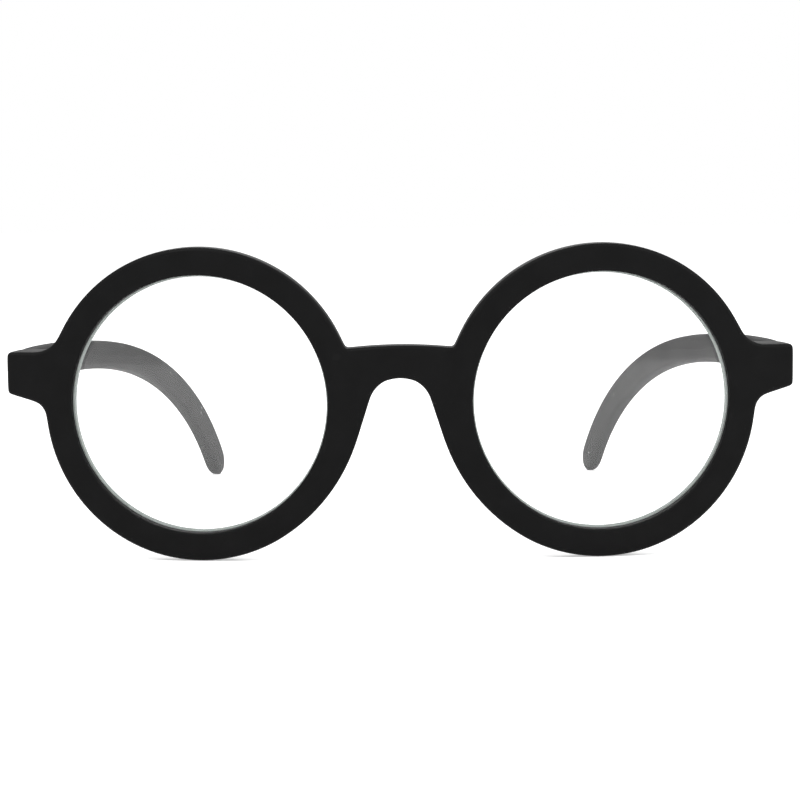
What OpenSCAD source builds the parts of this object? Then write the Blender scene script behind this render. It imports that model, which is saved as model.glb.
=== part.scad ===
// Round full-rim eyeglasses with a keyhole bridge, moulded nose pads and sprung hinges.
// They stand open on a table: +Z is up, the front faces -Y, and the temples run back to +Y.
// The left side is the -X side, which is on the left when the front is looked at.
// Millimetres. The origin is under the middle of the glasses, on the table.

/* [Rims] */
// Radius of each round lens opening
aperture_r = 22.55; // [21.5:0.05:23.5]
// Width of the rim around an opening
rim_w = 5; // [4.6:0.05:5.5]
// Gap between the rims, across the nose
bridge_gap = 15.3; // [14.1:0.1:16.9]
// Thickness of the front
front_t = 3.9; // [3.6:0.1:4.4]
// Radius of the bend that wraps the front towards the face
bend_r = 300; // [280:1:450]
// Angle by which the bottoms of the rims lean towards the face
front_tilt = 1.4; // [0:0.1:5]

/* [Bridge] */
// Height of the top of the bridge above the lens centres
bridge_top = 10.4; // [9.5:0.1:11]
// Height of the top of the nose arch above the lens centres
arch_top = 4.7; // [3.8:0.1:5]
// Radius of the nose arch
arch_r = 5.5; // [5:0.1:5.8]
// Radius of the arched top edge of the bridge
bridge_crown_r = 68; // [50:1:120]
// How far the bridge swells forwards
bridge_swell = 1.1; // [0.4:0.1:1.6]
// How far the moulded nose pads stand out behind the rims
pad_h = 3.6; // [2.5:0.1:4.5]

/* [Endpieces] */
// How far an endpiece reaches past its rim, along the bend
endpiece_reach = 6.95; // [6.45:0.05:7.65]
// Height of an endpiece's top edge above the lens centres
endpiece_top = 9.2; // [8.9:0.1:9.6]
// Height of an endpiece's outer face
endpiece_h = 7.5; // [7.2:0.1:7.8]
// Slope of an endpiece's lower edge, in degrees
endpiece_slope = 15.5; // [12:0.5:18]
// Depth of an endpiece behind the middle of the front's thickness, at its outer edge
endpiece_d = 3.4; // [3.2:0.1:4]

/* [Temples] */
// Length of a temple along its middle line
temple_len = 138; // [132:1:144]
// Height of a temple where it butts against the endpiece
temple_h = 7.4; // [7:0.1:7.6]
// Height of a temple along its arm
arm_h = 5.7; // [5.4:0.1:6.4]
// Thickness of a temple at the hinge
temple_t = 3.2; // [3.1:0.1:3.4]
// Thickness of a temple at its tip
tip_t = 3; // [2.6:0.1:3.1]
// Steepest slope of the ear hook, in degrees
hook_drop = 64; // [60:1:67]
// How far the tip stands in from the hinge, across the head
temple_bow = 26.5; // [22:0.5:29]

/* [Hinges] */
// Radius of the hinge ears
ear_r = 1.45; // [1.35:0.05:1.5]
// Thickness of each ear
ear_t = 1.2; // [1:0.1:1.3]
// Height of the slider's eye between the ears
eye_h = 1.9; // [1.7:0.1:2]
// Radius of the hinge screw's shank
screw_r = 0.7; // [0.6:0.05:0.75]
// Length of the spring
spring_len = 9; // [8.5:0.1:9.5]
// Diameter of the spring wire
wire_d = 0.36; // [0.3:0.02:0.4]
// Number of full turns of the spring
spring_turns = 8; // [7:1:9]

/* [Hidden] */

// Fits: running parts, pieces pressed together, and faces that only meet
run_gap = 0.04;
press_gap = 0.01;
seat_gap = 0.03;

// How far cuts run past a face, and pieces of one solid into each other
cut_past = 1;
join = 0.1;

// Rims and grooves
rim_r = aperture_r + rim_w;
lens_offset = rim_r + bridge_gap / 2;
endpiece_out = lens_offset + rim_r + endpiece_reach;
edge_r = 0.7;
lip_r = 0.4;
back_flare = 0.5;
groove_half = 0.6;
groove_depth = 1;
groove_w = pow(aperture_r, 2) / (4 * bend_r);
rim_step = 5;

// Marks on outline samples: a corner of the bridge's middle plane, and a point inside it
CROSSING = 1;
INSIDE = 2;

// Edges and fillets of the outline
nose_fullness = 0.7;
nose_fade = 40;
corner_r = 0.9;
top_fillet_r = 5;
low_fillet_r = 3;
bridge_fillet_r = 0.8;
endpiece_low = endpiece_top - endpiece_h;

// Lug behind each endpiece, and nose pads
lug_foot_r = aperture_r + 1.15;
lug_top_r = aperture_r + 2.2;
lug_low = [-1.4, 0.4];
lug_high = [9.7, 11.6];
pad_start = 176;
pad_end = 242;
pad_slant = 0.3;

// The bridge's swell runs a little onto the rims
swell_over = 1.2;
swell_power = 1.4;

// Rings of the front's face: the first stays this far inside the rim and the rounded edge
face_in = 0.2;
face_gap = 1.4;
soft = 0.29;

function smooth(t) = let (c = max(0, min(1, t))) c * c * (3 - 2 * c);
function ramp(x, range) = smooth((x - range[0]) / (range[1] - range[0]));

// A point of the front: u along the bend, v up, w back from the middle of the thickness.
function swell(u) = let (q = u / (bridge_gap / 2 + swell_over))
    abs(q) < 1 ? bridge_swell * pow(1 - q * q, swell_power) : 0;
function tilted(p) = [
    p[0],
    p[1] * cos(front_tilt) - p[2] * sin(front_tilt),
    p[1] * sin(front_tilt) + p[2] * cos(front_tilt),
];
function bent(u, v, w) = let (a = u / bend_r * 180 / PI)
    tilted([(bend_r - w) * sin(a), bend_r - (bend_r - w) * cos(a) - swell(u), v]);

seat_depth = bend_r * (1 - cos(endpiece_out / bend_r * 180 / PI)) + endpiece_d;

// The w at which a point of the front lies on the flat seat of the temples
function seat_w(u, v) = let (a = u / bend_r * 180 / PI)
    bend_r - (bend_r - (seat_depth + v * sin(front_tilt)) / cos(front_tilt)) / cos(a);

// A point of the flat lens circle: r and angle in the lens plane, w back
lens_turn = lens_offset / bend_r * 180 / PI;
lens_mid = [bend_r * sin(lens_turn), bend_r * (1 - cos(lens_turn)), 0];
function on_lens(r, a, w) = tilted(lens_mid
    + r * cos(a) * [cos(lens_turn), sin(lens_turn), 0]
    + w * [-sin(lens_turn), cos(lens_turn), 0]
    + [0, 0, r * sin(a)]);

// Outline samples, counterclockwise round the lens centre, in its own u and v.
// Each is [point, outward normal, mark].
function convex(c, r, a0, a1, n) = [for (i = [0 : n]) let (a = a0 + (a1 - a0) * i / n)
    [c + r * [cos(a), sin(a)], [cos(a), sin(a)], 0]];
function concave(c, r, a0, a1, n) = [for (i = [0 : n]) let (a = a0 + (a1 - a0) * i / n)
    [c + r * [cos(a), sin(a)], -[cos(a), sin(a)], 0]];
function rest_of(samples) = [for (i = [1 : len(samples) - 1]) samples[i]];
function inner_of(samples) = [for (i = [1 : len(samples) - 2]) samples[i]];
function dir(a) = [cos(a), sin(a)];
function angle_of(p) = atan2(p[1], p[0]);

// Centre of a fillet of radius r between the rim and an edge with normal angle n at distance d
function edge_fillet(n, d, r, side) = (d + r) * dir(n)
    + side * sqrt(pow(rim_r + r, 2) - pow(d + r, 2)) * dir(n + 90);

// Upper and lower edges of the endpiece
out_u = endpiece_out - lens_offset;
top_mid = edge_fillet(90, endpiece_top, top_fillet_r, -1);
low_n = -90 + endpiece_slope;
low_d = [out_u, endpiece_low] * dir(low_n);
low_mid = edge_fillet(low_n, low_d, low_fillet_r, 1);
top_corner = [out_u - corner_r, endpiece_top - corner_r];
low_corner = [
    out_u - corner_r,
    (low_d - corner_r - (out_u - corner_r) * cos(low_n)) / sin(low_n),
];

// Bridge: its top arc meets the rim in a small fillet
crown_mid = [-lens_offset, bridge_top - bridge_crown_r];
crown_reach = bridge_crown_r + bridge_fillet_r;
rim_reach = rim_r + bridge_fillet_r;
crown_span = norm(crown_mid);
crown_along = (pow(rim_reach, 2) - pow(crown_reach, 2) + pow(crown_span, 2)) / (2 * crown_span);
crown_aside = sqrt(pow(rim_reach, 2) - pow(crown_along, 2));
crown_fillet = (crown_along * crown_mid + crown_aside * [crown_mid[1], -crown_mid[0]]) / crown_span;

// Nose arch: it runs down in a straight flank to the slightly fuller nose side of the rim
arch_mid = [-lens_offset, arch_top - arch_r];
arch_step = 18;
nose_r = rim_r + nose_fullness;
flank_n = angle_of(-arch_mid) + acos((arch_r + nose_r) / norm(arch_mid));
function nose_rim(a) = rim_r + nose_fullness * (1 - smooth((a - flank_n - 180) / nose_fade));

rim_low = -90;
low_turn = angle_of(low_mid);
top_turn = angle_of(top_mid);
crown_turn = angle_of(crown_fillet);
function steps(a0, a1) = ceil(abs(a1 - a0) / rim_step);

outline = concat(
    convex([0, 0], rim_r, rim_low, low_turn, steps(rim_low, low_turn)),
    rest_of(concave(low_mid, low_fillet_r, low_turn + 180, low_n + 180, 4)),
    convex(low_corner, corner_r, low_n, 0, 3),
    [[[out_u, (top_corner[1] + low_corner[1]) / 2], [1, 0], 0]],
    convex(top_corner, corner_r, 0, 90, 3),
    concave(top_mid, top_fillet_r, 270, top_turn + 180, 6),
    rest_of(convex([0, 0], rim_r, top_turn, crown_turn, steps(top_turn, crown_turn))),
    rest_of(concave(crown_fillet, bridge_fillet_r,
        crown_turn - 180, angle_of(crown_mid - crown_fillet), 3)),
    inner_of(convex(crown_mid, bridge_crown_r, angle_of(crown_fillet - crown_mid), 90, 4)),
    [[[-lens_offset, bridge_top], [0, 1], CROSSING]],
    [for (i = [1 : 3]) [
        [-lens_offset, bridge_top - edge_r - (bridge_top - arch_top - 2 * edge_r) * i / 4],
        [0, 0],
        INSIDE,
    ]],
    [[[-lens_offset, arch_top], [0, -1], CROSSING]],
    rest_of(concave(arch_mid, arch_r, 90, 90 - arch_step, 1)),
    rest_of(concave(arch_mid, arch_r, 90 - arch_step, flank_n, 6)),
    [for (i = [1 : 3]) [
        (arch_mid + arch_r * dir(flank_n)) * (1 - i / 4) - nose_r * dir(flank_n) * i / 4,
        -dir(flank_n),
        0,
    ]],
    [for (i = [0 : steps(flank_n + 180, 270) - 1])
        let (a = flank_n + 180 + (90 - flank_n) * i / steps(flank_n + 180, 270))
        [nose_rim(a) * dir(a), dir(a), 0]]
);

// Behind the rims the front grows back into the lugs, and on the nose sides into the pads
function lug(p) = p[0] > 0 ? ramp(p[1], lug_low) * (1 - ramp(p[1], lug_high)) : 0;
function pad(a) = let (t = (a - pad_start) / (pad_end - pad_start))
    t > 0 && t < 1 ? pad_h * pow(sin(180 * t), 2) : 0;
function full_turn(a) = a < 0 ? a + 360 : a;
function back_w(p) = front_t / 2
    + lug(p) * (seat_w(lens_offset + p[0], p[1]) - front_t / 2)
    + pad(full_turn(angle_of(p)));
function front_point(p, w) = bent(lens_offset + p[0], p[1], w);

// One closed section of the front, from the lens groove over the face and the edge to the back
function section(s) = let (
    p = s[0],
    a = angle_of(p),
    inset = (s[2] == INSIDE ? 0 : edge_r) * s[1],
    face = front_t / 2,
    back = back_w(p),
    lean = pad(full_turn(a)) * pad_slant * dir(a),
    step_r = min(rim_r - face_in, norm(p - inset) - face_gap),
    step_p = step_r * dir(a),
    land_p = lug_top_r * dir(a),
    back_r = aperture_r + back_flare
) [
    on_lens(aperture_r + groove_depth, a, groove_w),
    on_lens(aperture_r, a, groove_w - groove_half),
    front_point(aperture_r * dir(a), lip_r - face),
    front_point((aperture_r + soft * lip_r) * dir(a), soft * lip_r - face),
    front_point((aperture_r + lip_r) * dir(a), -face),
    front_point(step_p, -face),
    front_point(step_p * 2 / 3 + (p - inset) / 3, -face),
    front_point(step_p / 3 + (p - inset) * 2 / 3, -face),
    front_point(p - inset, -face),
    front_point(p - soft * inset, soft * edge_r - face),
    front_point(p, edge_r - face),
    front_point(p - lean, back - edge_r),
    front_point(p - soft * inset - lean, back - soft * edge_r),
    front_point(p - inset - lean, back),
    front_point(land_p, back_w(land_p)),
    front_point(lug_foot_r * dir(a), face),
    front_point((back_r + lip_r) * dir(a), face),
    front_point((back_r + soft * lip_r) * dir(a), face - soft * lip_r),
    front_point(back_r * dir(a), face - lip_r),
    on_lens(aperture_r, a, groove_w + groove_half),
];

// The right half's points, then the left half's, which share the middle plane's
half = [for (s = outline) each section(s)];
ring_count = len(section(outline[0]));
sample_count = len(outline);
first_edge_ring = 8;
last_edge_ring = 13;
function on_middle(k) = outline[k][2] != 0;
function is_edge(j) = j >= first_edge_ring && j <= last_edge_ring;
function index(side, k, j) = (on_middle(k) && is_edge(j) ? 0 : side) * len(half) + k * ring_count + j;
function walled(k, j) = !(on_middle(k) && on_middle((k + 1) % sample_count) && is_edge(j) && is_edge(j + 1));
front_points = concat(half, [for (p = half) [-p[0], p[1], p[2]]]);
front_faces = [for (side = [0, 1], k = [0 : sample_count - 1], j = [0 : ring_count - 1])
    if (walled(k, j)) let (
        k2 = (k + 1) % sample_count,
        j2 = (j + 1) % ring_count,
        q = [index(side, k, j), index(side, k2, j), index(side, k2, j2), index(side, k, j2)]
    ) each side == 0 ? [[q[0], q[1], q[2]], [q[0], q[2], q[3]]] : [[q[2], q[1], q[0]], [q[3], q[2], q[0]]]];

// Height of the lens centres above the table, on which the rims stand
lens_h = -min([for (p = half) p[2]]);

// Hinge: its axis stands upright, just inside the temple's inner face
endpiece_mid = endpiece_top - endpiece_h / 2;
seat_edge = bent(endpiece_out, endpiece_mid, seat_w(endpiece_out, endpiece_mid));
hinge_z = seat_edge[2];
ear_gap = 0.15;
axis_x = seat_edge[0] - temple_t - ear_gap - ear_r;
ear_stand = 0.45;
axis_y = ear_r + ear_stand;

// Temple: a rounded bar swept along its middle line, in the lens frame
hook_start = 25;
hook_power = 2.75;
ring_gap = 3.1;
bar_r = 1;
bar_corner_steps = 3;
butt_edge = 0.2;
tip_r = 2.6;
tip_narrow = 0.6;
bar_round = 0.8;
lift_from = 30;
bow_ends = 0.95;
tip_steps = [20 : 20 : 80];
flare_len = 48;
taper_start = 110;
taper = 0.3;
arm_steps = floor((temple_len - tip_r) / ring_gap);
stations = concat(
    [[0, 1 - butt_edge / 2], [butt_edge, 1]],
    [for (i = [1 : arm_steps]) [(temple_len - tip_r) * i / arm_steps, 1]],
    [for (a = tip_steps) [temple_len - tip_r * (1 - sin(a)), cos(a)]]
);
bow_rate = temple_bow / pow(bow_ends * temple_len, 2);
function slope(s) = hook_drop * pow(max(0, s - hook_start) / (temple_len - hook_start), hook_power);
function bow_slope(y) = -2 * bow_rate * y;
function run(s0, s1, y) = (s1 - s0) * cos(slope((s0 + s1) / 2)) / sqrt(1 + pow(bow_slope(y), 2));
function fall(s0, s1) = (s1 - s0) * sin(slope((s0 + s1) / 2));
function bar_h(s) = arm_h + (temple_h - arm_h) * (1 - smooth(s / flare_len))
    - taper * smooth((s - taper_start) / (temple_len - taper_start));
function bar_t(s) = temple_t + (tip_t - temple_t) * smooth(s / temple_len);
line = [for (
    i = 0, y = 0, z = 0;
    i < len(stations);
    y = y + (i + 1 < len(stations) ? run(stations[i][0], stations[i + 1][0], y) : 0),
    z = z - (i + 1 < len(stations) ? fall(stations[i][0], stations[i + 1][0]) : 0),
    i = i + 1
) [stations[i][0], y, z, stations[i][1]]];
bar_start = [seat_edge[0] - temple_t / 2, seat_depth + seat_gap, hinge_z];
function bar_ring(m) = let (
    bow = bow_slope(m[1]),
    along = [bow, 1, 0] / sqrt(1 + bow * bow),
    across = [along[1], -along[0], 0],
    up = sin(slope(m[0])) * along + [0, 0, cos(slope(m[0]))],
    mid = bar_start + [-bow_rate * m[1] * m[1], m[1], m[2]],
    hh = bar_h(m[0]) / 2 * m[3],
    ht = bar_t(m[0]) / 2 * (1 - tip_narrow * (1 - m[3])),
    r = min(bar_r, bar_round * min(hh, ht))
) [for (c = [0 : 3], i = [0 : bar_corner_steps])
    let (a = 90 * c + 90 * i / bar_corner_steps, sx = c == 0 || c == 3 ? 1 : -1, sz = c < 2 ? 1 : -1)
    mid + (sx * (ht - r) + r * cos(a)) * across + (sz * (hh - r) + r * sin(a)) * up];
straight_rings = [for (m = line) bar_ring(m)];
bar_points_free = [for (ring = straight_rings) each ring];
tip_low = min([for (p = bar_points_free) p[2]]);
tip_low_y = [for (p = bar_points_free) if (p[2] == tip_low) p[1]][0];
// The arm is sheared very slightly, so that its tip rests on the table with the rims
lift_start = seat_depth + lift_from;
tip_lift = -lens_h - tip_low;
function lifted(p) = p + [0, 0, tip_lift * max(0, p[1] - lift_start) / (tip_low_y - lift_start)];
bar_points = [for (p = bar_points_free) lifted(p)];
bar_sides = 4 * (bar_corner_steps + 1);
bar_last = len(line) - 1;
bar_faces = concat(
    [[for (i = [0 : bar_sides - 1]) i]],
    [for (k = [0 : bar_last - 1], i = [0 : bar_sides - 1]) let (
        i2 = (i + 1) % bar_sides,
        q = [k * bar_sides + i, k * bar_sides + i2, (k + 1) * bar_sides + i2, (k + 1) * bar_sides + i]
    ) each [[q[2], q[1], q[0]], [q[3], q[2], q[0]]]],
    [[for (i = [bar_sides - 1 : -1 : 0]) bar_last * bar_sides + i]]
);

// The whole is set on the table with its middle over the origin
front_y = min([for (p = half) p[1]]);
rear_y = max([for (p = bar_points) p[1]]);
middle_y = -(front_y + rear_y) / 2;

// Hinge parts, measured from the axis, the seat and the middle of the hinge
plate_in = 3;
plate_out = 2.3;
plate_half = 2.9;
plate_t = 1.2;
plate_pin_r = 0.4;
plate_pin_x = -2.2;
plate_pin_z = 1.7;
plate_pin_len = 3.2;
eye_in = 0.05;
eye_r = ear_r - eye_in;
ear_low = eye_h / 2 + seat_gap;
ear_high = ear_low + ear_t;
head_r = 1.15;
head_h = 0.55;
slot_w = 0.3;
slot_d = 0.25;
bar_x = 0.9;
blade_t = 1;
blade_h = 1.7;
rod_r = 0.48;
housing_y = 3.6;
housing_in = -0.8;
housing_out = 2.6;
housing_half = 2.2;
bore_r = 1.35;
guide_len = 2.8;
guide_y = housing_y + guide_len;
nut_y = guide_y + spring_len + 2 * seat_gap;
nut_len = 1.2;
nut_r = 1.2;
rod_over = 0.3;
bore_over = 0.8;
housing_wall = 1;
rod_end = nut_y + nut_len + rod_over;
bore_end = rod_end + bore_over;
housing_end = bore_end + housing_wall;
tail_len = 5.2;
tail_in = 0.4;
tail_out = 2.2;
tail_half = 1.6;
tail_pin_r = 0.45;
tail_pin_head = 0.75;
tail_pin_head_h = 0.3;
tail_pin_first = 1.6;
tail_pin_gap = 2.2;
tail_pin_ys = [for (i = [0, 1]) housing_end + tail_pin_first + i * tail_pin_gap];
tail_pin_end = 3.3;
spring_r = 1;

module placed() {
    translate([0, middle_y, lens_h]) children();
}
module on_side(side) {
    placed() mirror([side < 0 ? 1 : 0, 0, 0]) children();
}
module at_hinge() {
    translate([axis_x, seat_depth, hinge_z]) children();
}
module box(low, high) {
    translate(low) cube(high - low);
}
module along_y(x, y0, y1, z, r) {
    translate([x, y0, z]) rotate([-90, 0, 0]) cylinder(h = y1 - y0, r = r, $fn = 48);
}
module along_x(x0, x1, y, z, r) {
    translate([x0, y, z]) rotate([0, 90, 0]) cylinder(h = x1 - x0, r = r, $fn = 48);
}
module upright(x, y, z0, z1, r) {
    translate([x, y, z0]) cylinder(h = z1 - z0, r = r, $fn = 64);
}

// Front

module plate_pocket() {
    at_hinge() {
        box(
            [-plate_in - press_gap, -plate_t - press_gap, -plate_half - press_gap],
            [plate_out + press_gap, cut_past, plate_half + press_gap]
        );
        for (z = [-plate_pin_z, plate_pin_z])
            along_y(plate_pin_x, -plate_pin_len - press_gap, 0, z, plate_pin_r + press_gap);
    }
}
module front_frame() {
    color([0.1, 0.1, 0.1]) placed() difference() {
        polyhedron(points = front_points, faces = front_faces);
        plate_pocket();
        mirror([1, 0, 0]) plate_pocket();
    }
}

// Lenses

lens_gap = 0.05;
lens_curve = 160;
lens_t = 1.9;
lens_front = -0.5;
blank_half = 4;
lens_bevel = groove_depth - lens_gap;
lens_bevel_half = groove_half - 2 * lens_gap;
lens_apex = lens_front + groove_w - lens_curve + sqrt(pow(lens_curve, 2) - pow(aperture_r, 2));
module lens(side) {
    on_side(side) color([0.85, 0.9, 0.9, 0.35]) rotate([front_tilt, 0, 0]) translate(lens_mid)
        rotate([0, 0, lens_turn]) rotate([-90, 0, 0]) difference() {
            intersection() {
                rotate_extrude($fn = 128) polygon([
                    [0, groove_w - blank_half],
                    [aperture_r - lens_gap, groove_w - blank_half],
                    [aperture_r - lens_gap, groove_w - lens_bevel_half],
                    [aperture_r + lens_bevel, groove_w],
                    [aperture_r - lens_gap, groove_w + lens_bevel_half],
                    [aperture_r - lens_gap, groove_w + blank_half],
                    [0, groove_w + blank_half],
                ]);
                translate([0, 0, lens_apex + lens_curve]) sphere(r = lens_curve, $fn = 256);
            }
            translate([0, 0, lens_apex + lens_t + lens_curve]) sphere(r = lens_curve, $fn = 256);
        }
}

// Temples

module housing_shape(gap) {
    box(
        [housing_in - gap, housing_y - gap, -housing_half - gap],
        [housing_out + gap, housing_end + gap, housing_half + gap]
    );
    box(
        [tail_in - gap, housing_end - cut_past, -tail_half - gap],
        [tail_out + gap, housing_end + tail_len + gap, tail_half + gap]
    );
}
module temple(side) {
    on_side(side) color([0.16, 0.16, 0.16]) difference() {
        polyhedron(points = bar_points, faces = bar_faces);
        at_hinge() {
            housing_shape(press_gap);
            box(
                [-tail_out, housing_end - cut_past, -tail_half - press_gap],
                [tail_out, housing_end + tail_len + press_gap, tail_half + press_gap]
            );
            for (y = tail_pin_ys) along_x(0, tail_pin_end + press_gap, y, 0, tail_pin_r + press_gap);
        }
    }
}

// Hinge pieces on the front

module ear(z0, z1) {
    upright(0, axis_y, z0, z1, ear_r);
    box([-ear_r, -plate_t / 2, z0], [ear_r, axis_y, z1]);
}
module front_hinge_plate(side) {
    on_side(side) color([0.55, 0.55, 0.57]) at_hinge() difference() {
        union() {
            box([-plate_in, -plate_t, -plate_half], [plate_out, 0, plate_half]);
            ear(ear_low, ear_high);
            ear(-ear_high, -ear_low);
        }
        upright(0, axis_y, -ear_high - cut_past, ear_high + cut_past, screw_r + press_gap);
        for (z = [-plate_pin_z, plate_pin_z])
            along_y(plate_pin_x, -plate_t - cut_past, cut_past, z, plate_pin_r + press_gap);
    }
}
module plate_pins(side) {
    on_side(side) color([0.7, 0.7, 0.72]) at_hinge()
        for (z = [-plate_pin_z, plate_pin_z])
            along_y(plate_pin_x, -plate_pin_len, -seat_gap, z, plate_pin_r);
}
module hinge_screw(side) {
    on_side(side) color([0.75, 0.75, 0.77]) at_hinge() translate([0, axis_y, 0]) difference() {
        union() {
            upright(0, 0, -ear_high, ear_high + join, screw_r);
            upright(0, 0, ear_high + press_gap, ear_high + head_h, head_r);
        }
        box(
            [-head_r - cut_past, -slot_w / 2, ear_high + head_h - slot_d],
            [head_r + cut_past, slot_w / 2, ear_high + head_h + cut_past]
        );
    }
}

// Hinge pieces that swing with the temple

module hinge_slider(side) {
    on_side(side) color([0.6, 0.6, 0.62]) at_hinge() difference() {
        union() {
            upright(0, axis_y, -eye_h / 2, eye_h / 2, eye_r);
            box(
                [bar_x - blade_t / 2, axis_y, -blade_h / 2],
                [bar_x + blade_t / 2, guide_y - join, blade_h / 2]
            );
            along_y(bar_x, guide_y - 2 * join, rod_end, 0, rod_r);
        }
        upright(0, axis_y, -eye_h, eye_h, screw_r + run_gap);
    }
}
module slider_nut(side) {
    on_side(side) color([0.7, 0.65, 0.5]) at_hinge() difference() {
        along_y(bar_x, nut_y, nut_y + nut_len, 0, nut_r);
        along_y(bar_x, nut_y - cut_past, nut_y + nut_len + cut_past, 0, rod_r + press_gap);
    }
}
module spring_guide(side) {
    on_side(side) color([0.7, 0.65, 0.5]) at_hinge() difference() {
        along_y(bar_x, housing_y, guide_y, 0, bore_r - press_gap);
        box(
            [bar_x - blade_t / 2 - run_gap, housing_y - cut_past, -blade_h / 2 - run_gap],
            [bar_x + blade_t / 2 + run_gap, guide_y + cut_past, blade_h / 2 + run_gap]
        );
    }
}
module spring_housing(side) {
    on_side(side) color([0.5, 0.5, 0.52]) at_hinge() difference() {
        housing_shape(0);
        along_y(bar_x, housing_y - cut_past, bore_end, 0, bore_r);
        for (y = tail_pin_ys)
            along_x(tail_in - cut_past, tail_out + cut_past, y, 0, tail_pin_r + press_gap);
    }
}
module housing_pins(side) {
    on_side(side) color([0.7, 0.7, 0.72]) at_hinge() for (y = tail_pin_ys) {
        along_x(tail_in - join, tail_pin_end, y, 0, tail_pin_r);
        along_x(tail_in - tail_pin_head_h, tail_in - press_gap, y, 0, tail_pin_head);
    }
}

// Spring: one unbroken wire
coil_rings = 8;
wire_sides = 6;
wire_r = wire_d / 2;
coil_count = coil_rings * spring_turns;
coil_start = guide_y + seat_gap + wire_r;
coil_end = nut_y - seat_gap - wire_r;
coil_pitch = (coil_end - coil_start) / spring_turns;
echo(least_gap_between_turns = coil_pitch - wire_d);
function coil_point(i) = let (a = 360 * i / coil_rings)
    [bar_x + spring_r * cos(a), coil_start + (coil_end - coil_start) * i / coil_count, spring_r * sin(a)];
function coil_ring(i) = let (a = 360 * i / coil_rings, out = [cos(a), 0, sin(a)])
    [for (k = [0 : wire_sides - 1]) let (b = 360 * k / wire_sides)
        coil_point(i) + wire_r * (cos(b) * out + sin(b) * [0, 1, 0])];
coil_points = [for (i = [0 : coil_count]) each coil_ring(i)];
coil_faces = concat(
    [[for (k = [wire_sides - 1 : -1 : 0]) k]],
    [for (i = [0 : coil_count - 1], k = [0 : wire_sides - 1]) let (
        k2 = (k + 1) % wire_sides,
        q = [i * wire_sides + k, i * wire_sides + k2, (i + 1) * wire_sides + k2, (i + 1) * wire_sides + k]
    ) each [[q[0], q[1], q[2]], [q[0], q[2], q[3]]]],
    [[for (k = [0 : wire_sides - 1]) coil_count * wire_sides + k]]
);
module hinge_spring(side) {
    on_side(side) color([0.8, 0.8, 0.82]) at_hinge()
        polyhedron(points = coil_points, faces = coil_faces);
}

front_frame();
lens(-1);  // lens_left
lens(1);  // lens_right
temple(-1);  // temple_left
temple(1);  // temple_right
front_hinge_plate(-1);  // front_hinge_plate_left
front_hinge_plate(1);  // front_hinge_plate_right
plate_pins(-1);  // plate_pins_left
plate_pins(1);  // plate_pins_right
hinge_screw(-1);  // hinge_screw_left
hinge_screw(1);  // hinge_screw_right
hinge_slider(-1);  // hinge_slider_left
hinge_slider(1);  // hinge_slider_right
slider_nut(-1);  // slider_nut_left
slider_nut(1);  // slider_nut_right
hinge_spring(-1);  // hinge_spring_left
hinge_spring(1);  // hinge_spring_right
spring_guide(-1);  // spring_guide_left
spring_guide(1);  // spring_guide_right
spring_housing(-1);  // spring_housing_left
spring_housing(1);  // spring_housing_right
housing_pins(-1);  // housing_pins_left
housing_pins(1);  // housing_pins_right
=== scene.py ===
"""Round full-rim eyeglasses, standing open on a table.

The pieces are modelled in millimetres, in the lens frame: X along the bridge, Y back and Z up from
the height of the lens centres. Each is then brought to metres and set on the table.
"""

import math
from types import SimpleNamespace

import bpy
from bpy.props import FloatProperty, FloatVectorProperty, IntProperty, PointerProperty
from mathutils import Euler, Matrix, Vector


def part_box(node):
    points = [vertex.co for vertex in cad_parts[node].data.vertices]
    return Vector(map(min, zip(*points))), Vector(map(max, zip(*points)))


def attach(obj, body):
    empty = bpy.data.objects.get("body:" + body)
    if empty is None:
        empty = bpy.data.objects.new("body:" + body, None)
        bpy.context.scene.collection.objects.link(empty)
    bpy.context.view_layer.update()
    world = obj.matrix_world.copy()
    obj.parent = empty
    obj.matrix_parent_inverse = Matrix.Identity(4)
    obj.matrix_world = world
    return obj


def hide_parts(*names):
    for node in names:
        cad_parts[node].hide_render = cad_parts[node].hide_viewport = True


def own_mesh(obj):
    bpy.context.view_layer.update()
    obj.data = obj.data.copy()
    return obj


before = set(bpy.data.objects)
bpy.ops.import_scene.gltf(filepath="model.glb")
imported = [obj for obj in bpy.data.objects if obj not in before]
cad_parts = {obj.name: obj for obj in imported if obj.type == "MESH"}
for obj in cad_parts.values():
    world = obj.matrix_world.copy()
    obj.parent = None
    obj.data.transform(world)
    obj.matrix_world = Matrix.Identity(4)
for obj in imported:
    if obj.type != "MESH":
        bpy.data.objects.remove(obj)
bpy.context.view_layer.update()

bl_info = {
    "name": "Round eyeglasses",
    "version": (1, 0, 0),
    "blender": (4, 5, 0),
    "location": "3D View > Sidebar > Eyeglasses",
    "description": "Models and finishes round full-rim eyeglasses with sprung hinges",
    "category": "Add Mesh",
}

MM = 0.001
QUARTER = math.pi / 2
SIDES = {"left": -1, "right": 1}  # with the sign of X there
MATERIALS = {}  # of each slot, once main has made them

# Tolerances in millimetres, and cosines for a face that looks mostly or wholly one way

TINY = 0.0001
WELD = 0.001
HAIR = 0.01
NEAR = 0.1
MOSTLY, WHOLLY = 0.9, 0.99

# Front, in millimetres, with angles about the lens centre

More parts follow.
